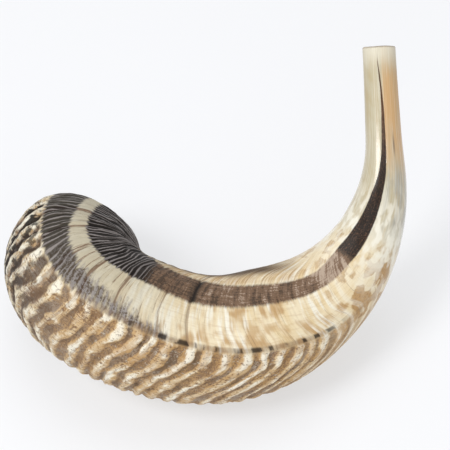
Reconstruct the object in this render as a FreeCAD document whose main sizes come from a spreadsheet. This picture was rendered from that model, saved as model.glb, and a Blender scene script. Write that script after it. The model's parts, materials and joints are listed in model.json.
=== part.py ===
# Shofar: a natural ram's horn with a drilled and carved mouthpiece, a straightened, polished neck
# and a ribbed body that sweeps through an open spiral to the bell.
#
# The horn is drawn along its axis, in a spiral frame of its own: the mouth is the origin, the spiral
# runs in the XY plane and the bell end dives away below it. Every cross-section is an ellipse with
# three keels. The horn is divided at its growth rings into lengths that meet face to face, and
# the whole is then laid down the way it rests on a table.
import FreeCAD, Part
import math
import os

# One row for each station on the axis, from the mouth to the bell rim.
STATION_COLUMNS = ("distance", "heading", "dive", "half_width", "keel_turn", "bore_half")
STATIONS = (
    (0, -87, 0, 7.75, 45, 3),
    (42, -87, 0, 8.5, 45, 3),
    (80, -107, 0, 13.5, 45, 4.5),
    (120, -136, -6, 20.5, 50, 11),
    (160, -161, -12, 26.5, 73, 20),
    (200, -192, -3, 28, 88, 22.5),
    (240, -212, 20, 29, 92, 24),
    (280, -256, 75, 30, 83, 24.5),
    (324, -266, 130, 29.5, 83, 24),
)
# Name of each length of horn, and the distance from the mouth at which it starts.
LENGTHS = (
    ("mouthpiece_tip", 0),
    ("polished_neck", 42),
    ("first_growth_cone", 92),
    ("second_growth_cone", 132),
    ("third_growth_cone", 156),
    ("fourth_growth_cone", 193),
    ("fifth_growth_cone", 223),
    ("sixth_growth_cone", 257),
    ("bell_cone", 290),
)
OTHER_SIZES = (
    ("depth_ratio", 0.92),
    ("keel_height", 0.16),
    ("keel_start", 52),
    ("keel_full", 155),
    ("side_keel_share", 0.8),
    ("inner_keel_offset", 115),
    ("outer_keel_offset", -120),
    ("bore_keel_share", 0.5),
    ("cup_radius", 6),
    ("cup_depth", 8),
    ("throat_radius", 3),
    ("section_gap", 8),
    ("rest_roll", -8),
    ("rest_lean", 41),
)
KEEL_SHARPNESS = 7
OUTLINE_POINTS = 24
AXIS_STEP = 1.0


def fill_sheet(document):
    """Put every driving dimension in the sheet, one aliased cell each."""
    sheet = document.addObject("Spreadsheet::Sheet", "Sizes")
    entries = list(OTHER_SIZES)
    for number, station in enumerate(STATIONS):
        for column, value in zip(STATION_COLUMNS, station):
            entries.append((f"{column}_{number}", value))
    for name, start in LENGTHS:
        entries.append((f"start_{name}", start))
    for row, (alias, value) in enumerate(entries, start=1):
        sheet.set(f"A{row}", alias)
        sheet.set(f"B{row}", str(value))
        sheet.setAlias(f"B{row}", alias)
    document.recompute()
    return sheet


def size(alias):
    """Read one driving dimension from the sheet."""
    return float(getattr(sizes, alias))


def column_curve(column):
    """Smooth rule through one column of stations, which never swings past its neighbours."""
    places = [size(f"distance_{number}") for number in range(len(STATIONS))]
    values = [size(f"{column}_{number}") for number in range(len(STATIONS))]
    gaps = [after - before for before, after in zip(places, places[1:])]
    rises = [(after - before) / gap for before, after, gap in zip(values, values[1:], gaps)]

    slopes = [0.0] * len(places)
    for number in range(1, len(places) - 1):
        before, after = rises[number - 1], rises[number]
        if before * after > 0:
            weight_before = 2 * gaps[number] + gaps[number - 1]
            weight_after = gaps[number] + 2 * gaps[number - 1]
            total = weight_before + weight_after
            slopes[number] = total / (weight_before / before + weight_after / after)
    slopes[0] = end_slope(gaps[0], gaps[1], rises[0], rises[1])
    slopes[-1] = end_slope(gaps[-1], gaps[-2], rises[-1], rises[-2])

    def value_at(place):
        number = max(index for index, start in enumerate(places[:-1]) if start <= place)
        gap = gaps[number]
        part = (place - places[number]) / gap
        value_before = (1 + 2 * part) * (1 - part) ** 2 * values[number]
        value_after = part ** 2 * (3 - 2 * part) * values[number + 1]
        slope_before = part * (1 - part) ** 2 * gap * slopes[number]
        slope_after = part ** 2 * (part - 1) * gap * slopes[number + 1]
        return value_before + value_after + slope_before + slope_after

    return value_at


def end_slope(near_gap, far_gap, near_rise, far_rise):
    """Slope at the first or last station, from the two rises next to it."""
    slope = ((2 * near_gap + far_gap) * near_rise - near_gap * far_rise) / (near_gap + far_gap)
    if slope * near_rise <= 0:
        return 0.0
    if near_rise * far_rise <= 0 and abs(slope) > 3 * abs(near_rise):
        return 3 * near_rise
    return slope


def direction_at(distance):
    """Unit vector along the axis, from the mouth towards the bell."""
    heading = math.radians(curves["heading"](distance))
    dive = math.radians(curves["dive"](distance))
    return FreeCAD.Vector(
        math.cos(dive) * math.cos(heading), math.cos(dive) * math.sin(heading), -math.sin(dive)
    )


def trace_axis():
    """Points of the axis at every whole step, by adding up its direction."""
    points = [FreeCAD.Vector(0, 0, 0)]
    for number in range(int(size(f"distance_{len(STATIONS) - 1}") / AXIS_STEP)):
        start = number * AXIS_STEP
        middle = direction_at(start + AXIS_STEP / 2)
        points.append(points[-1] + middle * AXIS_STEP)
    return points


def centre_at(distance):
    """Point of the axis at a distance from the mouth."""
    number = min(int(distance / AXIS_STEP), len(axis_points) - 1)
    start = number * AXIS_STEP
    return axis_points[number] + direction_at((start + distance) / 2) * (distance - start)


def keel_bump(angle):
    """Height of a keel at an angle from its crest: 1 on the crest, 0 well before the next keel."""
    return ((1 + math.cos(angle)) / 2) ** KEEL_SHARPNESS


def keels_at(distance, angle):
    """Share by which the three keels raise the section at an angle round it."""
    growth = (distance - size("keel_start")) / (size("keel_full") - size("keel_start"))
    height = size("keel_height") * min(max(growth, 0), 1)
    crest = math.radians(curves["keel_turn"](distance))
    inner = crest + math.radians(size("inner_keel_offset"))
    outer = crest + math.radians(size("outer_keel_offset"))
    side = size("side_keel_share")
    bumps = keel_bump(angle - crest) + side * (keel_bump(angle - inner) + keel_bump(angle - outer))
    return height * bumps


def skin_radius(distance, angle):
    """Radius of the horn's outside."""
    half_width = curves["half_width"](distance)
    half_depth = half_width * size("depth_ratio")
    ellipse = 1 / math.hypot(math.cos(angle) / half_width, math.sin(angle) / half_depth)
    return ellipse * (1 + keels_at(distance, angle))


def bore_radius(distance, angle):
    """Radius of the air channel, which is round in the neck and follows the horn further on."""
    half_width = curves["bore_half"](distance)
    wide = min(max((half_width - size("throat_radius")) / size("throat_radius"), 0), 1)
    half_depth = half_width * (1 - wide * (1 - size("depth_ratio")))
    ellipse = 1 / math.hypot(math.cos(angle) / half_width, math.sin(angle) / half_depth)
    return ellipse * (1 + wide * size("bore_keel_share") * keels_at(distance, angle))


def outline_wire(distance, radius_rule):
    """Closed outline of the section at a distance from the mouth."""
    centre = centre_at(distance)
    along = direction_at(distance)
    heading = math.radians(curves["heading"](distance))
    outward = FreeCAD.Vector(-math.sin(heading), math.cos(heading), 0)
    upward = along.cross(outward)
    points = []
    for number in range(OUTLINE_POINTS):
        angle = 2 * math.pi * number / OUTLINE_POINTS
        radius = radius_rule(distance, angle)
        points.append(centre + outward * radius * math.cos(angle) + upward * radius * math.sin(angle))
    curve = Part.BSplineCurve()
    curve.interpolate(Points=points, PeriodicFlag=True)
    return Part.Wire([curve.toShape()])


def add_loft(document, name, start, end, radius_rule):
    """Solid lofted through evenly spaced sections between two distances."""
    count = max(2, round((end - start) / size("section_gap")) + 1)
    sections = []
    for number in range(count):
        distance = start + (end - start) * number / (count - 1)
        section = document.addObject("Part::Feature", f"{name}_section_{number}")
        section.Shape = outline_wire(distance, radius_rule)
        sections.append(section)
    loft = document.addObject("Part::Loft", name)
    loft.Sections = sections
    loft.Solid = True
    loft.Ruled = False
    return loft


def add_cut(document, name, base, tool):
    """Boolean difference of two objects of the document."""
    cut = document.addObject("Part::Cut", name)
    cut.Base = base
    cut.Tool = tool
    return cut


def add_growth_length(document, name, start, end):
    """One length of horn: its skin less the air channel."""
    skin = add_loft(document, f"{name}_skin", start, end, skin_radius)
    channel = add_loft(document, f"{name}_channel", start, end, bore_radius)
    return add_cut(document, f"{name}_tube", skin, channel)


def add_mouthpiece(document, name, end):
    """The carved end of the horn: a shallow cup over a straight drilled throat."""
    skin = add_loft(document, f"{name}_skin", 0, end, skin_radius)
    into_horn = FreeCAD.Rotation(FreeCAD.Vector(0, 0, 1), direction_at(0))

    throat = document.addObject("Part::Cylinder", "Throat")
    throat.setExpression("Radius", "Sizes.throat_radius")
    throat.setExpression("Height", "Sizes.start_polished_neck")
    throat.Placement = FreeCAD.Placement(centre_at(0), into_horn)

    cup = document.addObject("Part::Cone", "Cup")
    cup.setExpression("Radius1", "Sizes.cup_radius")
    cup.setExpression("Radius2", "Sizes.throat_radius")
    cup.setExpression("Height", "Sizes.cup_depth")
    cup.Placement = FreeCAD.Placement(centre_at(0), into_horn)

    drilled = add_cut(document, f"{name}_drilled", skin, throat)
    return add_cut(document, f"{name}_tube", drilled, cup)


def lay_down(parts):
    """Turn every part the way the horn rests, on Z = 0 and centred on the origin."""
    rest_roll = FreeCAD.Rotation(FreeCAD.Vector(0, 0, 1), size("rest_roll"))
    rest_lean = FreeCAD.Rotation(FreeCAD.Vector(1, 0, 0), size("rest_lean"))
    turned = FreeCAD.Placement(FreeCAD.Vector(0, 0, 0), rest_lean.multiply(rest_roll))
    for part in parts:
        part.Placement = turned
    document.recompute()
    box = Part.makeCompound([part.Shape for part in parts]).optimalBoundingBox(False)
    drop = FreeCAD.Vector(-box.Center.x, -box.Center.y, -box.ZMin)
    for part in parts:
        part.Placement = FreeCAD.Placement(drop, turned.Rotation)
    document.recompute()


def check(parts):
    """Stop if any object failed or a part is not one valid solid."""
    for item in document.Objects:
        if "Invalid" in item.State or "Error" in item.State:
            raise RuntimeError(f"{item.Name} failed: {item.State}")
    for part in parts:
        shape = part.Shape
        if shape.isNull() or not shape.isValid() or len(shape.Solids) != 1 or shape.Volume <= 0:
            raise RuntimeError(f"{part.Label} is not one valid solid")


document = FreeCAD.newDocument("Shofar")
sizes = fill_sheet(document)
curves = {column: column_curve(column) for column in STATION_COLUMNS[1:]}
axis_points = trace_axis()

ends = [start for _, start in LENGTHS[1:]] + [STATIONS[-1][0]]
parts = []
for (name, start), end in zip(LENGTHS, ends):
    if start == 0:
        part = add_mouthpiece(document, name, end)
    else:
        part = add_growth_length(document, name, start, end)
    part.Label = name
    parts.append(part)
document.recompute()
check(parts)
lay_down(parts)
check(parts)

os.makedirs("parts", exist_ok=True)
for part in parts:
    part.Shape.exportStep(f"parts/{part.Label}.step")

compound_box = Part.makeCompound([part.Shape for part in parts]).optimalBoundingBox(False)
print(f"size {compound_box.XLength:.1f} x {compound_box.YLength:.1f} x {compound_box.ZLength:.1f} mm")
for part in parts:
    print(f"{part.Label}: {part.Shape.Volume / 1000:.1f} cm3")
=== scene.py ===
import json
import math

import bpy
import numpy as np
from mathutils import Matrix, Vector


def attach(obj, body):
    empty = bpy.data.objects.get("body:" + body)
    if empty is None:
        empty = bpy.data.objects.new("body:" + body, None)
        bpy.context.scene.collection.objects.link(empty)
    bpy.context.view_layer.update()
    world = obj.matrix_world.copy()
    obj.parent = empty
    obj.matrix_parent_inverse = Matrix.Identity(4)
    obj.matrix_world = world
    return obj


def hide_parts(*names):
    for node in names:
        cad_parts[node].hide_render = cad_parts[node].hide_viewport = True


bl_info = {
    "name": "Ram's horn shofar",
    "version": (1, 0, 0),
    "blender": (4, 5, 0),
    "location": "View3D > Sidebar > Shofar",
    "description": "Builds a polished and ribbed ram's horn shofar and a studio stage",
    "category": "Object",
}

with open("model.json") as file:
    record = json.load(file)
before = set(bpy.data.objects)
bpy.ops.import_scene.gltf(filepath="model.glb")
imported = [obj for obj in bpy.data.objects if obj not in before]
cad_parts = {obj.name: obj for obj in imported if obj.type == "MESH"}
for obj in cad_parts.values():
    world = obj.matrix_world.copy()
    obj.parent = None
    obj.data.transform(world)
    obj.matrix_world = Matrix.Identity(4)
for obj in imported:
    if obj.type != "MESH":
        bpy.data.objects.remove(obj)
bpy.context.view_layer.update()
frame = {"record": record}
MM = 0.001

# Stations on the horn's axis, in millimetres and degrees: distance from the mouth, heading, dive,
# half width, turn of the sharp keel, half width of the air channel. part.py has the same ones.
STATIONS = np.array((
    (0, -87, 0, 7.75, 45, 3),
    (42, -87, 0, 8.5, 45, 3),
    (80, -107, 0, 13.5, 45, 4.5),
    (120, -136, -6, 20.5, 50, 11),
    (160, -161, -12, 26.5, 73, 20),
    (200, -192, -3, 28, 88, 22.5),
    (240, -212, 20, 29, 92, 24),
    (280, -256, 75, 30, 83, 24.5),
    (324, -266, 130, 29.5, 83, 24),
), dtype=float)
DISTANCE, HEADING, DIVE, HALF_WIDTH, KEEL_TURN, BORE_HALF = range(6)
LENGTHS = (
    ("mouthpiece_tip", 0, "polished_horn"),
    ("polished_neck", 42, "polished_horn"),
    ("first_growth_cone", 92, "half_polished_horn"),
    ("second_growth_cone", 132, "half_polished_horn"),
    ("third_growth_cone", 156, "ribbed_horn"),
    ("fourth_growth_cone", 193, "ribbed_horn"),
    ("fifth_growth_cone", 223, "ribbed_horn"),
    ("sixth_growth_cone", 257, "ribbed_horn"),
    ("bell_cone", 290, "ribbed_horn"),
)
RIM = STATIONS[-1, DISTANCE]
DEPTH_RATIO = 0.92
KEEL_START, KEEL_FULL = 52, 155
INNER_KEEL, OUTER_KEEL, SIDE_KEEL_SHARE = 115, -120, 0.8
BORE_KEEL_SHARE = 0.5
KEEL_SHARPNESS = 7
CUP_RADIUS, CUP_DEPTH, THROAT_RADIUS = 6, 8, 3
CUP_CURVE = 0.8
# The waves that the saw left in the mouth: depth, how many in a turn, and where each one starts.
SAW_WAVES = ((0.25, 2, -60), (0.15, 3, 100))
SAW_REACH = 7
MOUTH_ROUNDING, BELL_ROUNDING = 0.8, 2.0
REST_ROLL, REST_LEAN = -8, 41
AXIS_STEP = 0.5


# ---- The horn's form, by the CAD's rules, in millimetres in the spiral's own frame ----

def smooth_rule(places, values):
    """Smooth rule through some points, which never swings past its neighbours."""
    places, values = np.asarray(places, float), np.asarray(values, float)
    gaps = np.diff(places)
    rises = np.diff(values) / gaps
    slopes = np.zeros(len(places))
    for number in range(1, len(places) - 1):
        before, after = rises[number - 1], rises[number]
        if before * after > 0:
            weight_before = 2 * gaps[number] + gaps[number - 1]
            weight_after = gaps[number] + 2 * gaps[number - 1]
            slopes[number] = (weight_before + weight_after) / (weight_before / before + weight_after / after)
    slopes[0] = end_slope(gaps[0], gaps[1], rises[0], rises[1])
    slopes[-1] = end_slope(gaps[-1], gaps[-2], rises[-1], rises[-2])

    def rule(where):
        where = np.clip(np.asarray(where, float), places[0], places[-1])
        number = np.clip(np.searchsorted(places, where, side="right") - 1, 0, len(gaps) - 1)
        gap = gaps[number]
        part = (where - places[number]) / gap
        return ((1 + 2 * part) * (1 - part) ** 2 * values[number]
                + part ** 2 * (3 - 2 * part) * values[number + 1]
                + part * (1 - part) ** 2 * gap * slopes[number]
                + part ** 2 * (part - 1) * gap * slopes[number + 1])

    return rule


def end_slope(near_gap, far_gap, near_rise, far_rise):
    """Slope at the first or last point, from the two rises next to it."""
    slope = ((2 * near_gap + far_gap) * near_rise - near_gap * far_rise) / (near_gap + far_gap)
    if slope * near_rise <= 0:
        return 0.0
    if near_rise * far_rise <= 0 and abs(slope) > 3 * abs(near_rise):
        return 3 * near_rise
    return slope


def station_rule(column):
    """Smooth rule through one column of the stations."""
    return smooth_rule(STATIONS[:, DISTANCE], STATIONS[:, column])


heading_rule, dive_rule = station_rule(HEADING), station_rule(DIVE)
half_width_rule, keel_turn_rule = station_rule(HALF_WIDTH), station_rule(KEEL_TURN)
bore_half_rule = station_rule(BORE_HALF)


def directions(distance):
    """Unit vectors along, outward from and up from the axis."""
    heading, dive = np.radians(heading_rule(distance)), np.radians(dive_rule(distance))
    along = np.stack([np.cos(dive) * np.cos(heading), np.cos(dive) * np.sin(heading), -np.sin(dive)], -1)
    outward = np.stack([-np.sin(heading), np.cos(heading), np.zeros_like(heading)], -1)
    return along, outward, np.cross(along, outward)


AXIS_PLACES = np.arange(0, RIM + AXIS_STEP / 2, AXIS_STEP)
AXIS_POINTS = np.vstack([
    np.zeros(3),
    np.cumsum(directions(AXIS_PLACES[:-1] + AXIS_STEP / 2)[0] * AXIS_STEP, axis=0),
])


def centres(distance):
    """Points of the axis at some distances from the mouth."""
    return np.stack([np.interp(distance, AXIS_PLACES, AXIS_POINTS[:, axis]) for axis in range(3)], -1)


def keel_bump(angle):
    """Height of a keel, from 1 at its crest to 0 on the far side."""
    return ((1 + np.cos(np.radians(angle))) / 2) ** KEEL_SHARPNESS


def keels(distance, turn, keel_height):
    """Share by which the keels raise the skin, at a turn from the sharp keel's crest."""
    growth = np.clip((distance - KEEL_START) / (KEEL_FULL - KEEL_START), 0, 1)
    side = keel_bump(turn - INNER_KEEL) + keel_bump(turn - OUTER_KEEL)
    return keel_height * growth * (keel_bump(turn) + SIDE_KEEL_SHARE * side)


def skin_points(distance, turn, keel_height):
    """Grid of points on the horn's outside: one row for each distance, one column for each turn."""
    rows, columns = distance[:, None], turn[None, :]
    angle = np.radians(columns + keel_turn_rule(rows))
    half_width = half_width_rule(rows)
    radius = 1 / np.hypot(np.cos(angle) / half_width, np.sin(angle) / (half_width * DEPTH_RATIO))
    radius = radius * (1 + keels(rows, columns, keel_height)) - edge_rounding(rows)
    return around_axis(distance, angle, radius)


def bore_points(distance, turn, keel_height):
    """The same grid on the air channel, with the cup and throat of the mouthpiece."""
    rows, columns = distance[:, None], turn[None, :]
    angle = np.radians(columns + keel_turn_rule(rows))
    half_width = bore_half_rule(rows)
    wide = np.clip((half_width - THROAT_RADIUS) / THROAT_RADIUS, 0, 1)
    half_depth = half_width * (1 - wide * (1 - DEPTH_RATIO))
    radius = 1 / np.hypot(np.cos(angle) / half_width, np.sin(angle) / half_depth)
    radius = radius * (1 + wide * BORE_KEEL_SHARE * keels(rows, columns, keel_height))
    cup = THROAT_RADIUS + (CUP_RADIUS - THROAT_RADIUS) * np.clip(1 - rows / CUP_DEPTH, 0, 1) ** CUP_CURVE
    return around_axis(distance, angle, np.maximum(radius, cup) + edge_rounding(rows))


def hand_cut(distance, turn):
    """Shift along the axis that leaves the sawn mouth a little uneven."""
    dip = sum(depth * (1 + np.cos(np.radians(waves * turn + start))) for depth, waves, start in SAW_WAVES)
    fall = np.clip(1 - distance / SAW_REACH, 0, 1)[:, None] * dip[None, :]
    return fall[..., None] * directions(np.zeros(1))[0]


def edge_rounding(distance):
    """How far the skin draws in, and the channel opens out, where the mouth and the rim are rounded."""
    drawn = np.zeros_like(distance)
    for radius, reach in ((MOUTH_ROUNDING, distance), (BELL_ROUNDING, RIM - distance)):
        depth = np.clip(radius - reach, 0, radius)
        drawn += radius - np.sqrt(radius ** 2 - depth ** 2)
    return drawn


def around_axis(distance, angle, radius):
    """Points at an angle and a radius round the axis, a row for each distance."""
    _, outward, upward = directions(distance)
    across = (radius * np.cos(angle))[..., None] * outward[:, None]
    over = (radius * np.sin(angle))[..., None] * upward[:, None]
    return centres(distance)[:, None] + across + over


def place_in_frame():
    """Matrix from the spiral's own frame, in metres, to the shared frame."""
    throat = next(mount for mount in frame["record"]["mounts"] if mount["name"] == "mouthpiece_throat")
    out_of_mouth = Vector(throat["axis"])
    middle_of_throat = CUP_DEPTH * MM + throat["dims"]["length_mm"] * MM / 2
    mouth = Vector(throat["pos_m"]) + out_of_mouth * middle_of_throat
    rest = Matrix.Rotation(math.radians(REST_LEAN), 4, "X") @ Matrix.Rotation(math.radians(REST_ROLL), 4, "Z")
    return Matrix.Translation(mouth) @ rest


PLACE = place_in_frame()


def to_frame(points):
    """Points in the spiral's frame, in millimetres, to metres in the shared frame."""
    turn, shift = np.array(PLACE.to_3x3()), np.array(PLACE.translation)
    return points * MM @ turn.T + shift


# ---- What the horn carries on its skin ----

# All of it follows the distance from the mouth and the turn from the sharp keel. The smooth face
# has a turn of 0 to 115, the ribbed face 0 to -120, and the inner face lies beyond them.

# How far the growth rings lean along the horn, and which way round.
RING_LEAN = smooth_rule((0, 60, 100, 130, 160, 200, 240, 280, 324), (0, 20, 40, 46, 40, 26, 13, 7, 6))
LEAN_ROUND = smooth_rule((-245, -182, -120, -70, 0, 25, 50, 78, 115),
                         (1, 0.1, -0.62, -0.58, 0.07, 0, 0.04, 0.22, 1))
# Spacing of the ribs, wide in the young horn and close at the bell.
RIB_SPACING = smooth_rule((-60, 130, 190, 240, 280, 340, 400), (8, 7.4, 6.8, 5.9, 5.2, 4.8, 4.8))
# Deep rings left by each year's pause in growth: place, width and depth.
YEAR_RINGS = (
    (132, 0.7, 0.7), (156, 0.6, 0.3), (172, 0.5, 0.2), (199, 0.9, 1.0), (211, 0.6, 0.5), (228, 0.8, 0.7),
    (241, 0.8, 0.8), (252, 0.8, 0.8), (263, 0.7, 0.7), (273, 0.8, 0.7), (287, 0.9, 0.9), (303, 0.8, 0.8),
)
BAR_PLACE, BAR_WIDTH = 198.5, 1.7
# The dark stripe: distance from the mouth, turn of its lower edge, turn of its upper edge, darkness.
LOW_EDGE, HIGH_EDGE, DARKNESS = 1, 2, 3
STRIPE = np.array((
    (0, 60, 58, 0.6), (8, 58, 60, 0.6), (20, 49, 54, 0.62), (30, 45, 54, 0.66), (50, 45, 60, 0.85),
    (60, 45, 66, 0.95), (70, 48, 75, 1.0), (90, 50, 82, 1.0), (103, 51, 83, 1.0), (108, 52, 81, 0.3),
    (122, 51, 75, 0.25), (128, 51, 74, 0.5), (150, 47, 72, 0.6), (180, 45, 76, 0.62), (200, 42, 77, 0.66),
    (218, 45, 80, 0.72), (226, 44, 88, 1.0), (240, 43, 94, 1.0),
    (260, 43, 100, 1.0), (280, 47, 104, 1.0), (324, 50, 106, 1.0),
), dtype=float)
# The second stripe, beside the sharp keel of the old horn.
SIDE_STRIPE = np.array((
    (0, 3, -6, 1), (200, 3, 0, 0.8), (215, 3, 10, 0.8), (230, 2, 16, 0.9), (250, 1, 22, 1),
    (265, 2, 29, 1), (280, 3, 34, 1), (324, 3, 36, 1),
), dtype=float)
# Radius of the round horn that the growth lines and the grain are measured on, in millimetres.
TURN_RADIUS = 24
# The crease that opens into the dark stripe: turn of its bottom at some distances.
CREASE_TURN = smooth_rule((0, 8, 20, 34, 60, 80), (62, 58, 51, 46, 46, 50))
CREASE_WIDTH = 2.2
# The dark fleck on the flank of the neck: where it lies and how far it reaches, in distance and turn.
FLECK_PLACE, FLECK_LENGTH, FLECK_TURN, FLECK_WIDTH = 47, 5, 17, 3
# Patches of colour: the turns that each lies between, how soft those edges are, the distances from
# the mouth that it lies between, and how soft those are.
PATCHES = {
    "cloudy": (-60, 40, 12, 58, 86, 7),
    "golden": (-40, 22, 14, 94, 224, 10),
    "yellowed": (30, 50, 8, 142, 190, 10),
    "tawny": (76, 108, 6, 126, 222, 16),
    "inner_edge": (92, 130, 8, 136, 250, 14),
}


def ring_growth(distance, turn):
    """Distance at which a point's growth ring crosses the middle of the smooth face."""
    return distance + RING_LEAN(distance) * LEAN_ROUND(np.where(turn > INNER_KEEL, turn - 360, turn))


RIB_STEP = 0.5
RIB_PLACES = np.arange(-60, 400, RIB_STEP)
RIB_COUNT = np.cumsum(RIB_STEP / RIB_SPACING(RIB_PLACES))


def rise(value, low, high):
    """Smooth rise from 0 at one value to 1 at another, which may be the lower one."""
    part = np.clip((value - low) / (high - low), 0, 1)
    return part * part * (3 - 2 * part)


def between(value, low, high, soft):
    """1 between two values and 0 outside them, with soft ends."""
    return rise(value, low - soft, low + soft) * rise(value, high + soft, high - soft)


def stripe_depth(stripe, distance, turn):
    """Degrees inside a stripe's nearer edge: positive in the stripe and negative beside it."""
    low = np.interp(distance, stripe[:, DISTANCE], stripe[:, LOW_EDGE])
    high = np.interp(distance, stripe[:, DISTANCE], stripe[:, HIGH_EDGE])
    return np.minimum(turn - low, high - turn)


def skin_fields(distance, turn):
    """Everything that the relief and the colours read, as one value for each point."""
    growth = ring_growth(distance, turn)
    rings = sum(depth * np.exp(-((growth - place) / width) ** 2) for place, width, depth in YEAR_RINGS)
    angle = np.radians(turn)
    round_horn = [TURN_RADIUS * np.cos(angle), TURN_RADIUS * np.sin(angle)]
    crease = np.exp(-((turn - CREASE_TURN(distance)) / CREASE_WIDTH) ** 2)
    fleck = np.exp(-((distance - FLECK_PLACE) / FLECK_LENGTH) ** 2 - ((turn - FLECK_TURN) / FLECK_WIDTH) ** 2)
    fields = {
        "distance": distance,
        "ribbed": rise(turn, 2.5, -3) * rise(turn, -134, -112),
        "inner_face": rise(turn, -112, -134) + rise(turn, 106, 126),
        "rib_turns": np.interp(growth, RIB_PLACES, RIB_COUNT),
        "year_rings": rings,
        "stripe": stripe_depth(STRIPE, distance, turn),
        "stripe_tone": np.interp(distance, STRIPE[:, DISTANCE], STRIPE[:, DARKNESS]),
        "side_stripe": stripe_depth(SIDE_STRIPE, distance, turn),
        "crease": crease * between(distance, 10, 54, 5),
        "bar": np.exp(-((growth - BAR_PLACE) / BAR_WIDTH) ** 2),
        "keel_end": between(turn, -14, 1, 4),
        "keel_line": between(turn, 0.8, 5.4, 1.2),
        "fleck": fleck,
        "flank": rise(turn, -80, -64) * rise(turn, 49, 43) * rise(distance, 68, 44),
        "weathered": 1.15 * rise(turn, -2, 8) * rise(turn, 135, 115) * rise(distance, 180, 245),
        "flow": np.stack([growth, *round_horn], -1),
        "grain": np.stack([distance, *round_horn], -1),
    }
    for name, (low, high, turn_soft, start, end, distance_soft) in PATCHES.items():
        fields[name] = between(turn, low, high, turn_soft) * between(distance, start, end, distance_soft)
    return fields


# ---- Node trees ----

# Where changes along the horn begin and are complete, in millimetres from the mouth. A pair that
# runs backwards is for something that fades out instead.
UNPOLISHED, RIBS_START, RIBS_DEEPEN, BELL_RELIEF = (86, 98), (100, 175), (175, 235), (190, 240)
LINES_START, RINGS_START, LUMPS_START = (80, 150), (110, 200), (30, 180)
ROUGH_SKIN, ELDER_RIBS, BELL_STRIPES = (100, 165), (205, 255), (205, 232)
SCRAPED, CLEAR_NECK, GLOSS_START, SAWN_EDGE = (150, 70), (106, 70), (30, 50), (1.2, 0.2)

RELIEF_SIZES = ("Rib Height", "Line Depth", "Ring Depth", "Lump Height", "Crease Depth")
SKIN_OUTPUTS = (("Colour", "NodeSocketColor"), ("Roughness", "NodeSocketFloat"),
                ("Polish", "NodeSocketFloat"), ("Height", "NodeSocketFloat"))


class Wire:
    """An output inside a node tree. Arithmetic on wires adds the Math nodes that work it out."""

    def __init__(self, tree, socket):
        self.tree, self.socket = tree, socket

    def __add__(self, other):
        return calculate(self.tree, "ADD", self, other)

    def __sub__(self, other):
        return calculate(self.tree, "SUBTRACT", self, other)

    def __mul__(self, other):
        return calculate(self.tree, "MULTIPLY", self, other)

    def __rsub__(self, other):
        return calculate(self.tree, "SUBTRACT", other, self)

    __radd__, __rmul__ = __add__, __mul__


def feed(tree, socket, value):
    """Link a wire to a socket, or set the socket to a plain value."""
    if isinstance(value, Wire):
        tree.links.new(value.socket, socket)
    else:
        socket.default_value = value


def calculate(tree, operation, *values):
    """Math node on wires and plain values."""
    node = tree.nodes.new("ShaderNodeMath")
    node.operation = operation
    for socket, value in zip(node.inputs, values):
        feed(tree, socket, value)
    return Wire(tree, node.outputs[0])


def noise(tree, vector, across, along, detail=2.0, roughness=0.5, seed=0):
    """Noise from 0 to 1 with grains of one size across the rings and another along them, in mm."""
    stretch = tree.nodes.new("ShaderNodeVectorMath")
    stretch.operation = "MULTIPLY"
    feed(tree, stretch.inputs[0], vector)
    stretch.inputs[1].default_value = (1 / across, 1 / along, 1 / along)
    node = tree.nodes.new("ShaderNodeTexNoise")
    node.noise_dimensions = "4D"
    tree.links.new(stretch.outputs[0], node.inputs["Vector"])
    node.inputs["W"].default_value = seed
    node.inputs["Scale"].default_value = 1
    node.inputs["Detail"].default_value = detail
    node.inputs["Roughness"].default_value = roughness
    return Wire(tree, node.outputs[0])


def step(tree, value, low, high):
    """Smooth rise from 0 at one value to 1 at another."""
    node = tree.nodes.new("ShaderNodeMapRange")
    node.interpolation_type = "SMOOTHSTEP"
    feed(tree, node.inputs["Value"], value)
    feed(tree, node.inputs["From Min"], low)
    feed(tree, node.inputs["From Max"], high)
    return Wire(tree, node.outputs[0])


class Layers:
    """A colour built up in layers, each one covering those below it by its own share."""

    def __init__(self, tree, palette, colour):
        self.tree, self.palette = tree, palette
        self.colour = self.wire(colour)

    def wire(self, colour):
        """The wire of a colour, which is a name from the palette, a wire or other layers."""
        if isinstance(colour, Layers):
            return colour.colour
        return self.palette[colour] if isinstance(colour, str) else colour

    def lay(self, share, colour):
        """Lay one more colour over the rest."""
        node = self.tree.nodes.new("ShaderNodeMix")
        node.data_type = "RGBA"
        feed(self.tree, node.inputs[0], share)
        feed(self.tree, node.inputs[6], self.colour)
        feed(self.tree, node.inputs[7], self.wire(colour))
        self.colour = Wire(self.tree, node.outputs[2])
        return self

    def start(self, colour):
        """New layers from the same palette."""
        return Layers(self.tree, self.palette, colour)


def add_socket(tree, name, kind, default=None, output=False):
    """Named input or output of a node group."""
    direction = "OUTPUT" if output else "INPUT"
    socket = tree.interface.new_socket(name=name, in_out=direction, socket_type=kind)
    if default is not None:
        socket.default_value = default


def field(tree, name, vector=False):
    """A value kept on the points of the mesh, read in a geometry or a shader tree."""
    if tree.bl_idname == "GeometryNodeTree":
        node = tree.nodes.new("GeometryNodeInputNamedAttribute")
        node.data_type = "FLOAT_VECTOR" if vector else "FLOAT"
        node.inputs["Name"].default_value = name
        return Wire(tree, node.outputs["Attribute"])
    node = tree.nodes.new("ShaderNodeAttribute")
    node.attribute_name = name
    return Wire(tree, node.outputs["Vector" if vector else "Fac"])


def store(tree, geometry, name, value):
    """Keep a value on the points of the mesh for the shader to read."""
    node = tree.nodes.new("GeometryNodeStoreNamedAttribute")
    node.data_type = "FLOAT"
    node.inputs["Name"].default_value = name
    tree.links.new(geometry, node.inputs["Geometry"])
    feed(tree, node.inputs["Value"], value)
    return node.outputs["Geometry"]


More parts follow.
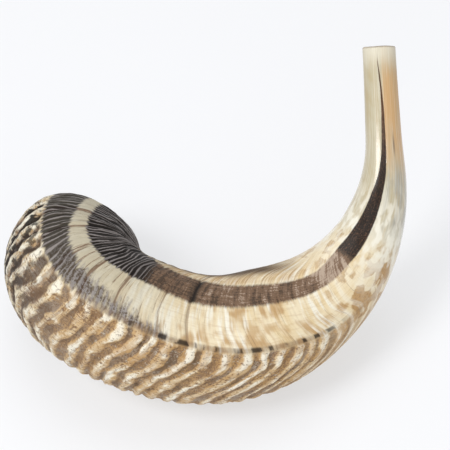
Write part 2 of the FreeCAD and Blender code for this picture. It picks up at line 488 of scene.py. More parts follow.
def relief_tree():
    """Geometry nodes that raise ribs, growth lines and year rings on a smooth length of horn."""
    tree = bpy.data.node_groups.new("Horn relief", "GeometryNodeTree")
    add_socket(tree, "Geometry", "NodeSocketGeometry")
    for name in RELIEF_SIZES:
        add_socket(tree, name, "NodeSocketFloat", 0.001)
    add_socket(tree, "Skin", "NodeSocketMaterial")
    add_socket(tree, "Geometry", "NodeSocketGeometry", output=True)
    entry = tree.nodes.new("NodeGroupInput")
    rib_height, line_depth, ring_depth, lump_height, crease_depth = (
        Wire(tree, entry.outputs[name]) for name in RELIEF_SIZES)
    distance, flow, grain = field(tree, "distance"), field(tree, "flow", True), field(tree, "grain", True)
    ribbed, inner_face = field(tree, "ribbed"), field(tree, "inner_face")
    smooth_face = 1 - ribbed - inner_face
    old, bell = step(tree, distance, *RIBS_START), step(tree, distance, *BELL_RELIEF)
    full_turn = 2 * math.pi

    # Ribs, which wander, swell and end in knobs at the sharp keel.
    sway = (noise(tree, flow, 14, 16, detail=1) - 0.5) * 1.2
    wobble = (noise(tree, flow, 4, 4.5, detail=2, seed=1) - 0.5) * 0.7
    count = field(tree, "rib_turns") + sway + wobble
    low_relief = step(tree, distance, *RIBS_DEEPEN) * 0.45 + 0.55
    wave = calculate(tree, "COSINE", count * full_turn) * 0.5 + 0.5
    crest = calculate(tree, "POWER", wave, 0.6)
    uneven = noise(tree, flow, 4.5, 4.5, detail=1, seed=3) * 1.8 + 0.1
    knobs = field(tree, "keel_end") * 0.5
    share = ribbed + inner_face * 0.55 + smooth_face * (0.1 + bell * 0.14)
    ribs = (crest - 1) * share * (uneven + knobs) * old * low_relief * rib_height
    bumpy = noise(tree, flow, 2.6, 3.2, detail=2, seed=11) - 0.5
    bumps = bumpy * crest * ribbed * old * line_depth * 1.6

    # Narrow ridges, three to a rib and straighter than the ribs, on the smooth faces of the old horn.
    shiver = (noise(tree, flow, 3.5, 40, detail=1, seed=13) - 0.5) * 0.9
    ridge_count = (count - wobble * 0.75) * 3 + shiver
    ridge = calculate(tree, "COSINE", ridge_count * full_turn) * 0.5 + 0.5
    ridges = (ridge - 1) * smooth_face * bell * line_depth * 0.7

    # Growth lines, finest on the smooth face and strongest at the bell.
    fibres = (noise(tree, flow, 1.1, 11, detail=3, seed=5) - 0.5) * old
    threads = (noise(tree, grain, 6, 1.1, detail=2, seed=15) - 0.5) * ribbed * (1 - crest) * old * 1.2
    fine = (noise(tree, flow, 1.5, 34, detail=2, seed=7) - 0.5) * smooth_face * (bell * 1.6 + 0.5)
    fine = fine * step(tree, distance, *LINES_START) * 1.5
    lines = (fibres + threads + fine) * line_depth

    # Year rings, broad unevenness and the crease.
    rings = field(tree, "year_rings") * (step(tree, distance, *RINGS_START) * -1) * ring_depth
    broad = noise(tree, flow, 26, 22, detail=1, seed=9) - 0.5
    lumps = broad * lump_height * step(tree, distance, *LUMPS_START)
    crease = field(tree, "crease") * (crease_depth * -1)
    height = (ribs + bumps + ridges + lines + rings + lumps + crease) * (1 - field(tree, "inside"))

    move = tree.nodes.new("GeometryNodeSetPosition")
    tree.links.new(entry.outputs["Geometry"], move.inputs["Geometry"])
    scale = tree.nodes.new("ShaderNodeVectorMath")
    scale.operation = "SCALE"
    feed(tree, scale.inputs[0], field(tree, "outward", True))
    feed(tree, scale.inputs["Scale"], height)
    tree.links.new(scale.outputs[0], move.inputs["Offset"])
    geometry = store(tree, move.outputs["Geometry"], "crest", crest)
    geometry = store(tree, geometry, "ridge", ridge)
    # How deep the growth lines and year rings cut, which the skin darkens as painted shade.
    geometry = store(tree, geometry, "hollow", (lines + rings) * -1000)
    realize = tree.nodes.new("GeometryNodeRealizeInstances")
    paint = tree.nodes.new("GeometryNodeSetMaterial")
    leave = tree.nodes.new("NodeGroupOutput")
    tree.links.new(geometry, realize.inputs["Geometry"])
    tree.links.new(realize.outputs["Geometry"], paint.inputs["Geometry"])
    tree.links.new(entry.outputs["Skin"], paint.inputs["Material"])
    tree.links.new(paint.outputs["Geometry"], leave.inputs["Geometry"])
    return tree


def pale_horn(tree, skin, at):
    """Cream horn clouded with ivory, golden near the sharp keel, and streaked along its growth lines."""
    flow, grain, distance = at["flow"], at["grain"], at["distance"]
    zone = step(tree, distance, *UNPOLISHED)
    young, aged = step(tree, distance, 138, 112), step(tree, distance, 190, 250)
    inner_edge = field(tree, "inner_edge")
    clouds = noise(tree, flow, 7, 13, detail=4, seed=1)
    skin.lay(step(tree, clouds, 0.3, 0.6), "ivory")
    skin.lay(zone * 0.5, "honey")

    # Ochre mottling, in blotches on the young horn and in bands on the old.
    broad = noise(tree, flow, 3, 16, detail=4, roughness=0.6, seed=2)
    patches = noise(tree, grain, 7, 6, detail=1, seed=4)
    golden = calculate(tree, "MAXIMUM", field(tree, "golden"), field(tree, "yellowed"))
    mottle = broad * (0.45 - young * 0.2) + patches * (0.6 + young * 0.25) + golden * 0.1
    amount = step(tree, mottle, 0.54 + young * 0.03, 0.7 - young * 0.07)
    skin.lay(amount * zone * (golden * 0.45 + young * 0.2 + 0.4), "tan")
    spots = step(tree, at["speckle"] * 0.6 + at["fuzz"] * 0.4, 0.48, 0.58)
    skin.lay(amount * young * zone * spots * 0.35, "brown")

    # Ivory streaks, the faint weave across them, and weathering towards the bell.
    bright = step(tree, noise(tree, flow, 2.4, 15, detail=2, seed=22) - golden * 0.04, 0.46, 0.64)
    skin.lay(bright * zone * (0.9 - young * 0.7), "ivory")
    weave = step(tree, noise(tree, grain, 9, 0.6, detail=3, roughness=0.7, seed=44), 0.5, 0.62)
    skin.lay(weave * zone * 0.22, "tan")
    skin.lay(field(tree, "weathered") * 0.75, "stone")

    # Dark growth lines, painted shade in the hollows of the growth lines, year rings and ridges, and the
    # browner horn by the inner keel.
    thin = noise(tree, flow, 0.6, 16, detail=5, roughness=0.7, seed=6)
    # Painted shade in the grooves between the ridges of the old horn.
    groove_shade = step(tree, at["ridge"], 0.22, 0.02) * aged * 0.07
    dark_lines_and_shade = step(tree, thin + at["hollow"] * 0.3 + inner_edge * 0.14 + groove_shade, 0.57, 0.67)
    skin.lay(dark_lines_and_shade * zone * (aged * 0.38 + 0.5), "brown")
    tawny = field(tree, "tawny") * step(tree, thin * 0.5 + broad * 0.5, 0.4, 0.6)
    skin.lay(tawny * 0.85, "tan")
    skin.lay(tawny * step(tree, thin, 0.5, 0.62) * 0.4, "brown")
    skin.lay(inner_edge * step(tree, thin + broad * 0.4, 0.44, 0.66) * 0.9, "umber")


def rib_colours(tree, skin, at):
    """Brown mottled valleys between cream crests, from tan through brown to nearly black: stain, with painted
    shade low on the ribs and painted highlight on the crests.
    """
    flow, distance, crest = at["flow"], at["distance"], at["crest"]
    fuzz, speckle, threads = at["fuzz"], at["speckle"], at["threads"]
    rough = at["rough_face"] * at["old"]
    young = step(tree, distance, 262, 236)
    browning = (noise(tree, flow, 9, 9, detail=2, seed=12) - 0.5) * 0.7
    level = crest * (1 + field(tree, "keel_end") * 0.35) + (fuzz - 0.5) * 0.8 + browning - 0.05
    clean = step(tree, noise(tree, flow, 5, 8, detail=3, roughness=0.6, seed=48), 0.44, 0.56)
    pattern = noise(tree, flow, 3.2, 4.5, detail=4, roughness=0.65, seed=46)

    # The slopes of the ribs: tan and stone, with tan and ash laid more thickly down from the crest, partly as
    # painted shade.
    skin.lay((1 - clean) * rough * young * 0.6, "tan")
    skin.lay(step(tree, distance, 236, 276) * rough * 0.6, "stone")
    skin.lay(step(tree, level, 0.95, 0.6) * rough * (young * 0.45 + 0.2), "tan")
    skin.lay(step(tree, level, 1.0, 0.55) * rough * (1 - young) * 0.45, "ash")
    skin.lay(step(tree, pattern * 0.55 + speckle * 0.45, 0.5, 0.58) * rough * 0.7, "tan")

    # The valleys: brown, tan, ash and umber stain, laid where the ribs are lowest, which also paints shade in
    # them.
    valley = skin.start("brown").lay(step(tree, speckle * 0.7 + threads * 0.3, 0.45, 0.52), "tan")
    dusty = noise(tree, flow, 7, 8, detail=2, seed=34) * 0.5 + speckle * 0.5
    valley.lay(step(tree, dusty, 0.49, 0.55) * 0.8, "ash")
    dark = noise(tree, flow, 6, 7, detail=2, seed=24) * 0.4 + speckle * 0.6 - young * 0.02
    valley.lay(step(tree, dark, 0.47, 0.55) * 0.85, "umber")
    valley.lay(step(tree, distance, *ELDER_RIBS) * 0.45, skin.start("umber").lay(speckle, "mauve"))
    # Valley colour over the low parts of the ribs: stain and painted shade.
    valley_stain_and_shade = step(tree, level + (pattern - 0.5) * 0.8, 0.7, 0.4) * rough
    skin.lay(valley_stain_and_shade * (0.98 - young * 0.14), valley)

    # Stains and chalky dust over both, pale crowns painted on the rib tops as highlight, and grit.
    stain = threads * 0.4 + speckle * 0.4 + fuzz * 0.2 - browning * 0.4
    skin.lay(step(tree, stain, 0.52, 0.58) * rough * (0.8 - young * 0.15), "brown")
    skin.lay(step(tree, threads * 0.5 + fuzz * 0.5, 0.46, 0.36) * rough * 0.4, "ivory")
    # Ivory on the rib crests: painted highlight.
    crown_highlight = step(tree, level - (pattern - 0.5) * 1.6, 0.8, 1.15) * rough * (clean * 0.75 + 0.25)
    skin.lay(crown_highlight * 0.75, "ivory")
    skin.lay(step(tree, threads * 0.35 + speckle * 0.65, 0.53, 0.6) * rough * 0.6, "brown")
    # Black blots at the bell, set mostly low on the ribs: dark horn, and painted shade in the valleys.
    black_blots_and_shade = step(tree, noise(tree, flow, 2, 6, detail=3, roughness=0.6, seed=26) - crest * 0.24, 0.3, 0.39)
    skin.lay(black_blots_and_shade * at["rough_face"] * step(tree, distance, 240, 275) * 0.95, "black")


def stripe_colours(tree, skin, at):
    """The two dark stripes: black near the neck and at the bell, and faded brown between."""
    flow, distance, speckle, ridge = at["flow"], at["distance"], at["speckle"], at["ridge"]
    bell = step(tree, distance, *BELL_STRIPES)
    tone = field(tree, "stripe_tone")
    ragged = (noise(tree, flow, 1.2, 6, detail=4, roughness=0.65, seed=14) - 0.5) * 9
    lines = noise(tree, flow, 0.8, 24, detail=3, seed=16)
    flecks = noise(tree, at["grain"], 9, 0.7, detail=4, roughness=0.6, seed=28)
    bands = noise(tree, flow, 2.4, 9, detail=3, seed=36)

    # Faded brown, woven from the growth lines and the grain.
    tweed = (speckle - 0.5) * 0.9 + (flecks - 0.5) * 1.0
    tweed = tweed * (step(tree, tone, 0.3, 0.55) * 0.7 + 0.4)
    shade = tone + (lines - 0.5) * 0.5 + (bands - 0.5) * 1.2 + tweed
    faded = skin.start("mauve").lay(step(tree, shade, 0.2, 0.5), "brown")
    faded.lay(step(tree, shade, 0.55, 0.85), "umber")

    # Black, rusty on the neck; at the bell, black left in the grooves and umber up the slopes as painted
    # shade, and grey on the ridge tops as painted highlight.
    rusty = step(tree, flecks * 0.4 + speckle * 0.6, 0.49, 0.62) * 0.7 + 0.06
    black = skin.start("black").lay(rusty, "russet").lay(bell, "black")
    # Umber up the ridges at the bell, black left in the grooves: painted shade.
    black.lay(step(tree, ridge + (lines - 0.5) * 0.8, 0.3, 0.7) * bell * 0.25, "umber")
    # Grey on the ridge tops at the bell: painted highlight.
    ridge_highlight = step(tree, ridge + (lines - 0.5) * 0.5 + (speckle - 0.5) * 0.2, 0.66, 0.92) * bell
    black.lay(ridge_highlight * 0.95, "grey")

    # The main stripe.
    dark = skin.start(faded).lay(step(tree, tone + (flecks - 0.5) * 0.3, 0.74, 0.9), black)
    dark.lay(step(tree, distance, 50, 22) * 0.7, "russet")
    dark.lay(field(tree, "bar"), "black")
    soft = 1.2 + 1.4 * at["old"] - bell * 1.2
    ragged = ragged * (at["old"] * 0.6 + 0.15) * (1 - bell * 0.6) + (ridge - 0.5) * bell * 3
    stripe = step(tree, field(tree, "stripe") + ragged, soft * -1, soft)
    skin.lay(stripe * 0.98, dark)

    # The stripe beside the sharp keel.
    blotched = (noise(tree, flow, 2.5, 6, detail=4, roughness=0.65, seed=38) - 0.5) * 40
    blotched = blotched * step(tree, distance, 262, 236)
    spread = 5.5 - step(tree, distance, 232, 262) * 4
    side = step(tree, field(tree, "side_stripe") + ragged + blotched, spread * -1, spread)
    side = side * step(tree, distance, 195, 212) * (1 - field(tree, "ribbed"))
    dusty = skin.start("umber").lay(step(tree, speckle * 0.5 + lines * 0.4 + ridge * 0.1, 0.46, 0.54), "grey")
    dusty.lay(step(tree, distance + ragged, 236, 264), black)
    skin.lay(side * 0.92, dusty)

    # Soiling and dark dashes along the sharp keel.
    keel_line = field(tree, "keel_line")
    soiled = keel_line * step(tree, distance, 128, 150) * step(tree, distance, 250, 225)
    skin.lay(soiled * (0.45 + (at["fuzz"] - 0.5) * 0.8), "brown")
    gaps = step(tree, noise(tree, flow, 4, 20, detail=2, seed=40), 0.4, 0.52)
    dashes = gaps * step(tree, at["crest"] + (speckle - 0.5) * 0.6, 0.8, 0.5) * keel_line
    dashes = dashes * step(tree, distance, 122, 140) * step(tree, distance, 236, 216)
    skin.lay(dashes * 0.85, "black")
    return stripe


def neck_colours(tree, skin, at):
    """The scraped and polished neck: olive on one side, orange tan on the other, cloudy below."""
    grain, distance = at["grain"], at["distance"]
    clear = step(tree, distance, *CLEAR_NECK)
    skin.lay(clear * 0.82, "olive")
    drift = noise(tree, grain, 22, 6, detail=3, seed=30)
    flank = field(tree, "flank") * (step(tree, drift, 0.3, 0.6) * 0.4 + 0.6)
    skin.lay(flank * (step(tree, distance, 3, 18) * 0.75 + 0.25), "orange")
    cloudy = field(tree, "cloudy") * step(tree, drift, 0.62, 0.42)
    skin.lay(cloudy * 0.85, "cloud")
    strands = noise(tree, grain, 30, 1.4, detail=3, roughness=0.6, seed=50)
    skin.lay(step(tree, strands, 0.5, 0.66) * clear * 0.3, "ivory")
    skin.lay(step(tree, strands, 0.48, 0.34) * clear * 0.3, "tan")
    milky = step(tree, noise(tree, grain, 7, 5, detail=2, seed=32), 0.42, 0.6) * (1 - cloudy * 0.55)
    milky = milky * step(tree, distance, 54, 89) * step(tree, distance, 124, 89)
    skin.lay(milky * 0.95, "ivory")
    skin.lay(step(tree, distance, 14, 1) * 0.5, "ivory")
    dark = calculate(tree, "MAXIMUM", field(tree, "crease"), field(tree, "fleck") * 0.8)
    skin.lay(dark * 0.9, "umber")


def skin_group(colours):
    """Shader group for horn: its colour, roughness, polish and fine height, from the mesh's fields."""
    tree = bpy.data.node_groups.new("Horn skin", "ShaderNodeTree")
    names = tuple(ShofarColours.__annotations__)
    for name in names:
        add_socket(tree, name.title(), "NodeSocketColor", (*getattr(colours, name), 1))
    for name, kind in SKIN_OUTPUTS:
        add_socket(tree, name, kind, output=True)
    entry = tree.nodes.new("NodeGroupInput")
    palette = {name: Wire(tree, entry.outputs[name.title()]) for name in names}
    at = {name: field(tree, name) for name in ("distance", "crest", "ridge", "hollow", "inside")}
    at |= {name: field(tree, name, True) for name in ("flow", "grain")}
    rough_face = field(tree, "ribbed") + field(tree, "inner_face") * 0.7
    at["rough_face"] = calculate(tree, "MINIMUM", rough_face, 1.0)
    at["old"] = step(tree, at["distance"], *ROUGH_SKIN)
    at["threads"] = noise(tree, at["grain"], 5, 0.5, detail=4, roughness=0.7, seed=8)
    at["fuzz"] = noise(tree, at["flow"], 1.2, 2.4, detail=4, roughness=0.7, seed=10)
    at["speckle"] = noise(tree, at["grain"], 0.9, 0.8, detail=3, roughness=0.65, seed=42)

    skin = Layers(tree, palette, "cream")
    pale_horn(tree, skin, at)
    rib_colours(tree, skin, at)
    neck_colours(tree, skin, at)
    stripe = stripe_colours(tree, skin, at)

    # The air channel and the sawn edge of the mouth.
    inside, outside = at["inside"], 1 - at["inside"]
    bands = step(tree, noise(tree, at["grain"], 30, 1.5, detail=3, seed=18), 0.3, 0.7)
    skin.lay(inside, skin.start("bore").lay(bands * 0.5, "brown"))
    skin.lay(step(tree, at["distance"], *SAWN_EDGE) * outside * 0.5, "brown")

    # The finish: glossy where polished, satin where scraped, dull elsewhere and in the stripe.
    scraped = step(tree, at["distance"], *SCRAPED) * outside
    polish = scraped * step(tree, at["distance"], *GLOSS_START)
    dullness = (at["fuzz"] - 0.5) * 0.2 * (1 - polish)
    roughness = 0.56 - scraped * 0.2 - polish * 0.14 - stripe * 0.06 + dullness
    gleam = 1 - stripe * (0.2 + 0.6 * step(tree, at["distance"], 52, 68))
    height = (at["fuzz"] * 0.4 + at["threads"] * 0.3 + at["speckle"] * 0.3) * at["rough_face"] * at["old"]
    leave = tree.nodes.new("NodeGroupOutput")
    for (name, _), wire in zip(SKIN_OUTPUTS, (skin.colour, roughness, polish * gleam, height)):
        tree.links.new(wire.socket, leave.inputs[name])
    return tree


FINISH = {"Coat Roughness": 0.17, "IOR": 1.54, "Specular IOR Level": 0.12}
FINE_RELIEF = {"Strength": 0.5, "Distance": 0.0006}
SKIN_LINKS = {"Colour": "Base Color", "Roughness": "Roughness", "Polish": "Coat Weight"}


def horn_material(name, group):
    """Horn keratin, with the polish varying over the surface."""
    material = bpy.data.materials.new(name)
    material.use_nodes = True
    tree = material.node_tree
    surface = tree.nodes["Principled BSDF"]
    skin = tree.nodes.new("ShaderNodeGroup")
    skin.node_tree = group
    bump = tree.nodes.new("ShaderNodeBump")
    tree.links.new(skin.outputs["Height"], bump.inputs["Height"])
    tree.links.new(bump.outputs["Normal"], surface.inputs["Normal"])
    for output, socket in SKIN_LINKS.items():
        tree.links.new(skin.outputs[output], surface.inputs[socket])
    set_inputs(bump, FINE_RELIEF)
    set_inputs(surface, FINISH)
    return material


def set_inputs(node, values):
    """Set a node's own sockets to plain values."""
    for name, value in values.items():
        node.inputs[name].default_value = value


# ---- Meshes ----

COLUMNS = 400
ROW_GAP, BORE_ROW_GAP = 0.45, 2.0
TURNS = -180 + 360 / COLUMNS * np.arange(COLUMNS)
NORMAL_REACH = 0.25
ROUNDED_ROWS = 9


def rows_between(start, end, gap):
    """Evenly spaced distances from one end of a length to the other."""
    return np.linspace(start, end, max(2, round((end - start) / gap)) + 1)


def with_end_rows(rows):
    """The same rows, with more of them where the mouth and the rim are rounded."""
    close = 1 - np.cos(np.linspace(0, math.pi / 2, ROUNDED_ROWS))
    spare = ROW_GAP / 2
    if rows[0] == 0:
        rows = np.concatenate([close * MOUTH_ROUNDING, rows[rows > MOUTH_ROUNDING + spare]])
    if rows[-1] == RIM:
        rim_rows = (RIM - close * BELL_ROUNDING)[::-1]
        rows = np.concatenate([rows[rows < RIM - BELL_ROUNDING - spare], rim_rows])
    return rows


def skin_normals(distance, keel_height):
    """Outward normals of the smooth skin, the same on both sides of a cut."""
    before = skin_points(distance - NORMAL_REACH, TURNS, keel_height)
    after = skin_points(distance + NORMAL_REACH, TURNS, keel_height)
    points = skin_points(distance, TURNS, keel_height)
    round_it = np.roll(points, -1, 1) - np.roll(points, 1, 1)
    normals = np.cross(round_it, after - before)
    normals /= np.linalg.norm(normals, axis=2, keepdims=True)
    outward = points - points.mean(axis=1, keepdims=True)
    facing = np.sign((normals * outward).sum(axis=2).mean())
    return normals * facing @ np.array(PLACE.to_3x3()).T


def grid_faces(first, row_count, flip):
    """Quads between the rows of a tube whose points start at a number."""
    row, column = np.meshgrid(np.arange(row_count - 1), np.arange(COLUMNS), indexing="ij")
    beside = (column + 1) % COLUMNS
    corners = [row * COLUMNS + column, row * COLUMNS + beside,
               (row + 1) * COLUMNS + beside, (row + 1) * COLUMNS + column]
    faces = np.stack(corners, -1).reshape(-1, 4) + first
    return faces[:, ::-1] if flip else faces


def horn_mesh(name, start, end, shape):
    """Closed mesh of one length of horn, with its fields on its points."""
    outer_rows = with_end_rows(rows_between(start, end, ROW_GAP))
    inner_rows = with_end_rows(rows_between(start, end, BORE_ROW_GAP))
    outer = skin_points(outer_rows, TURNS, shape.keel_height)
    inner = bore_points(inner_rows, TURNS, shape.keel_height)
    outer, inner = outer + hand_cut(outer_rows, TURNS), inner + hand_cut(inner_rows, TURNS)
    points = to_frame(np.concatenate([outer.reshape(-1, 3), inner.reshape(-1, 3)]))
    first_inner = len(outer_rows) * COLUMNS

    around, beside = np.arange(COLUMNS), (np.arange(COLUMNS) + 1) % COLUMNS
    last_outer = first_inner - COLUMNS
    last_inner = first_inner + (len(inner_rows) - 1) * COLUMNS
    near_end = np.stack([around, around + first_inner, beside + first_inner, beside], -1)
    far_end = np.stack([around + last_outer, beside + last_outer, beside + last_inner,
                        around + last_inner], -1)
    outer_faces = grid_faces(0, len(outer_rows), True)
    channel_faces = grid_faces(first_inner, len(inner_rows), False)
    faces = np.concatenate([outer_faces, channel_faces, near_end, far_end])

    mesh = bpy.data.meshes.new(name)
    mesh.from_pydata(points.tolist(), [], faces.tolist())
    rows = np.concatenate([outer_rows, inner_rows])
    distance, turn = (grid.ravel() for grid in np.meshgrid(rows, TURNS, indexing="ij"))
    fields = skin_fields(distance, turn)
    fields["inside"] = (np.arange(len(distance)) >= first_inner).astype(float)
    normals = skin_normals(outer_rows, shape.keel_height).reshape(-1, 3)
    fields["outward"] = np.concatenate([normals, np.zeros((len(inner_rows) * COLUMNS, 3))])
    for label, values in fields.items():
        kind, slot = ("FLOAT_VECTOR", "vector") if values.ndim == 2 else ("FLOAT", "value")
        attribute = mesh.attributes.new(label, kind, "POINT")
        attribute.data.foreach_set(slot, values.astype(np.float32).ravel())
    mesh.shade_smooth()
    sharpen_ends(mesh, (0, last_outer, first_inner, last_inner))
    return mesh


def sharpen_ends(mesh, loops):
    """Mark the four edges round the cut ends as sharp."""
    pairs = np.empty(len(mesh.edges) * 2, dtype=np.int32)
    mesh.edges.foreach_get("vertices", pairs)
    pairs = pairs.reshape(-1, 2)
    sharp = np.zeros(len(pairs), dtype=bool)
    for loop in loops:
        sharp |= ((pairs >= loop) & (pairs < loop + COLUMNS)).all(axis=1)
    attribute = mesh.attributes.new("sharp_edge", "BOOLEAN", "EDGE")
    attribute.data.foreach_set("value", sharp)


def apply_relief(piece, tree, shape, material):
    """Run the relief nodes on a piece and keep the result as its plain mesh."""
    modifier = piece.modifiers.new("Horn relief", "NODES")
    modifier.node_group = tree
    values = {name: getattr(shape, name.lower().replace(" ", "_")) for name in RELIEF_SIZES}
    values["Skin"] = material
    for item in tree.interface.items_tree:
        if item.in_out == "INPUT" and item.name in values:
            modifier[item.identifier] = values[item.name]
    graph = bpy.context.evaluated_depsgraph_get()
    plain = bpy.data.meshes.new_from_object(
        piece.evaluated_get(graph), preserve_all_data_layers=True, depsgraph=graph)
    piece.modifiers.clear()
    piece.data = plain


def cached(collection, name, make):
    """A node group or material by name, made the first time it is asked for."""
    found = collection.get(name)
    return found if found else make()


def build_length(name, start, end, slot, scene):
    """One length of horn, standing for its CAD node."""
    shape, colours = scene.shofar_shape, scene.shofar_colours
    relief = cached(bpy.data.node_groups, "Horn relief", relief_tree)
    group = cached(bpy.data.node_groups, "Horn skin", lambda: skin_group(colours))
    finish = f"{slot}_keratin"
    material = cached(bpy.data.materials, finish, lambda: horn_material(finish, group))
    piece = bpy.data.objects.new(f"{name}_skin", horn_mesh(name, start, end, shape))
    scene.collection.objects.link(piece)
    apply_relief(piece, relief, shape, material)
    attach(piece, "root")
    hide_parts(name)


# ---- Sizes and colours that a user would change ----

def size_property(name, description, default):
    """A length in metres."""
    return bpy.props.FloatProperty(
        name=name, description=description, default=default, unit="LENGTH", precision=5)


def colour_property(name, description, default):
    """A colour as linear red, green and blue."""
    return bpy.props.FloatVectorProperty(
        name=name, description=description, default=default, subtype="COLOR", min=0, max=1)


class ShofarShape(bpy.types.PropertyGroup):
    """Sizes of the horn's relief."""
    keel_height: bpy.props.FloatProperty(
        name="Keel height", description="Height of the sharp keel as a share of the radius", default=0.16)
    rib_height: size_property("Rib height", "Depth of the valleys between the ribs", 0.0017)
    line_depth: size_property("Line depth", "Depth of the fine growth lines", 0.00055)
    ring_depth: size_property("Ring depth", "Depth of the year rings", 0.0008)
    lump_height: size_property("Lump height", "Height of the broad unevenness", 0.001)
    crease_depth: size_property("Crease depth", "Depth of the crease that opens into the dark stripe", 0.0005)


class ShofarColours(bpy.types.PropertyGroup):
    """Colours of the horn."""
    cream: colour_property("Cream", "Pale horn", (0.68, 0.56, 0.38))
    ivory: colour_property("Ivory", "Palest horn", (0.82, 0.78, 0.66))
    honey: colour_property("Honey", "Warm horn of the smooth face", (0.71, 0.54, 0.27))
    tan: colour_property("Tan", "Golden streaks", (0.45, 0.27, 0.11))
    orange: colour_property("Orange", "Flank of the neck", (0.57, 0.36, 0.175))
    olive: colour_property("Olive", "Clear polished horn", (0.45, 0.39, 0.25))
    stone: colour_property("Stone", "Weathered horn of the bell", (0.46, 0.415, 0.31))
    cloud: colour_property("Cloud", "Milky grey of the neck", (0.35, 0.335, 0.29))
    brown: colour_property("Brown", "Dark streaks and the faded stripe", (0.17, 0.10, 0.06))
    mauve: colour_property("Mauve", "Palest part of the stripe", (0.42, 0.32, 0.24))
    russet: colour_property("Russet", "Flecks in the black stripe", (0.13, 0.062, 0.036))
    umber: colour_property("Umber", "Deepest valleys between ribs", (0.065, 0.040, 0.026))
    black: colour_property("Black", "Darkest horn of the stripes", (0.006, 0.004, 0.004))
    # Grey: the painted highlight on the ridge tops of the black stripe at the bell, and dusty mottling in the
    # stripe beside the keel.
    grey: colour_property("Grey", "Worn ridges of dark horn", (0.235, 0.21, 0.20))
    ash: colour_property("Ash", "Dust between the ribs", (0.27, 0.235, 0.20))
    bore: colour_property("Bore", "Walls of the air channel", (0.36, 0.27, 0.17))


class ShofarStage(bpy.types.PropertyGroup):
    """The table, the light and the camera."""
    floor_size: size_property("Floor size", "Width of the table", 6.0)
    floor_colour: colour_property("Floor colour", "Paint of the table", (0.35, 0.353, 0.365))
    floor_glow: bpy.props.FloatProperty(
        name="Floor glow", description="Light that comes up through the table", default=0.54)
    camera_distance: size_property("Camera distance", "From the horn's middle to the lens", 0.752)
    view_width: size_property("View width", "Width that the camera sees at the horn's middle", 0.2115)


class SHOFAR_OT_mouthpiece(bpy.types.Operator):
    """Build the carved mouthpiece"""
    bl_idname = "shofar.mouthpiece"
    bl_label = "Mouthpiece"

    def execute(self, context):
        (name, start, slot), (_, end, _) = LENGTHS[0], LENGTHS[1]
        build_length(name, start, end, slot, context.scene)
        return {"FINISHED"}


class SHOFAR_OT_horn_lengths(bpy.types.Operator):
    """Build the polished neck, the growth cones and the bell"""
    bl_idname = "shofar.horn_lengths"
    bl_label = "Neck, growth cones and bell"

    def execute(self, context):
        ends = [start for _, start, _ in LENGTHS[1:]] + [RIM]
        for (name, start, slot), end in list(zip(LENGTHS, ends))[1:]:
            build_length(name, start, end, slot, context.scene)
        return {"FINISHED"}


# The soft lights: place, width and power.
LIGHTS = {
    "key_softbox": ((-0.63, -0.33, 1.03), 0.52, 7),
    "top_fill": ((0.1, 0.5, 1.5), 1.2, 7),
    "front_fill": ((0.2, -1.15, 0.6), 1.0, 4.2),
}
LIGHT_TARGET = (0, 0, 0.03)
SKY_COLOUR, SKY_STRENGTH = (0.92, 0.95, 1.0, 1), 0.55
TABLE_FINISH = {"Roughness": 0.7, "Specular IOR Level": 0.2, "Emission Color": (1, 1, 1, 1)}
# The middle of the view, in the spiral's own frame, and the camera's film width, in millimetres.
VIEW_MIDDLE = (-72.3, -84.0, 0)
FILM_WIDTH = 36


def area_light(scene, name, place, size, power):
    """A round softbox turned towards the horn."""
    light = bpy.data.lights.new(name, "AREA")
    light.shape = "DISK"
    light.size = size
    light.energy = power
    lamp = bpy.data.objects.new(name, light)
    scene.collection.objects.link(lamp)
    lamp.location = place
    lamp.rotation_euler = (Vector(LIGHT_TARGET) - Vector(place)).to_track_quat("-Z", "Y").to_euler()


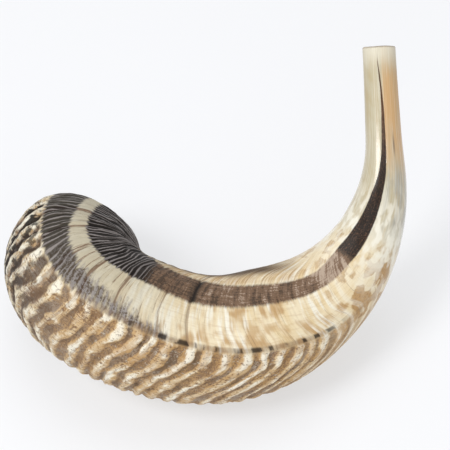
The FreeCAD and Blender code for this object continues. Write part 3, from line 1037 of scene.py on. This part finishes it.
class SHOFAR_OT_stage(bpy.types.Operator):
    """Build the table, the lights and the camera"""
    bl_idname = "shofar.stage"
    bl_label = "Stage"

    def execute(self, context):
        scene, settings = context.scene, context.scene.shofar_stage
        half = settings.floor_size / 2
        mesh = bpy.data.meshes.new("floor")
        corners = [(-half, -half, 0), (half, -half, 0), (half, half, 0), (-half, half, 0)]
        mesh.from_pydata(corners, [], [(0, 1, 2, 3)])
        floor = bpy.data.objects.new("floor", mesh)
        scene.collection.objects.link(floor)
        paint = bpy.data.materials.new("table_white")
        paint.use_nodes = True
        surface = paint.node_tree.nodes["Principled BSDF"]
        set_inputs(surface, TABLE_FINISH)
        surface.inputs["Base Color"].default_value = (*settings.floor_colour, 1)
        surface.inputs["Emission Strength"].default_value = settings.floor_glow
        mesh.materials.append(paint)

        world = bpy.data.worlds.new("studio")
        scene.world = world
        world.use_nodes = True
        sky = world.node_tree.nodes["Background"]
        set_inputs(sky, {"Color": SKY_COLOUR, "Strength": SKY_STRENGTH})
        for name, (place, size, power) in LIGHTS.items():
            area_light(scene, name, place, size, power)
        scene.view_settings.view_transform = "Standard"

        # The camera looks square at the spiral's plane.
        middle = Vector(VIEW_MIDDLE) * MM
        camera = bpy.data.cameras.new("camera")
        camera.sensor_width = FILM_WIDTH
        camera.lens = camera.sensor_width * settings.camera_distance / settings.view_width
        camera.clip_start, camera.clip_end = 0.01, 20
        eye = bpy.data.objects.new("camera", camera)
        scene.collection.objects.link(eye)
        eye.matrix_world = PLACE @ Matrix.Translation(middle + Vector((0, 0, settings.camera_distance)))
        scene.camera = eye
        return {"FINISHED"}


class SHOFAR_PT_panel(bpy.types.Panel):
    """Sidebar panel with every step in order"""
    bl_idname = "SHOFAR_PT_panel"
    bl_label = "Ram's horn shofar"
    bl_space_type = "VIEW_3D"
    bl_region_type = "UI"
    bl_category = "Shofar"

    def draw(self, context):
        for group in GROUPS:
            settings = getattr(context.scene, group)
            for name in settings.__annotations__:
                self.layout.prop(settings, name)
        for step_class in STEPS:
            self.layout.operator(step_class.bl_idname)


STEPS = (SHOFAR_OT_mouthpiece, SHOFAR_OT_horn_lengths, SHOFAR_OT_stage)
CLASSES = (ShofarShape, ShofarColours, ShofarStage, *STEPS, SHOFAR_PT_panel)
GROUPS = {"shofar_shape": ShofarShape, "shofar_colours": ShofarColours, "shofar_stage": ShofarStage}


def register():
    for cls in CLASSES:
        bpy.utils.register_class(cls)
    for name, group in GROUPS.items():
        setattr(bpy.types.Scene, name, bpy.props.PointerProperty(type=group))


def unregister():
    for name in GROUPS:
        delattr(bpy.types.Scene, name)
    for cls in reversed(CLASSES):
        bpy.utils.unregister_class(cls)


def main():
    """Build the horn and its stage."""
    register()
    bpy.ops.shofar.mouthpiece()
    bpy.ops.shofar.horn_lengths()
    bpy.ops.shofar.stage()


if __name__ == "__main__":
    main()
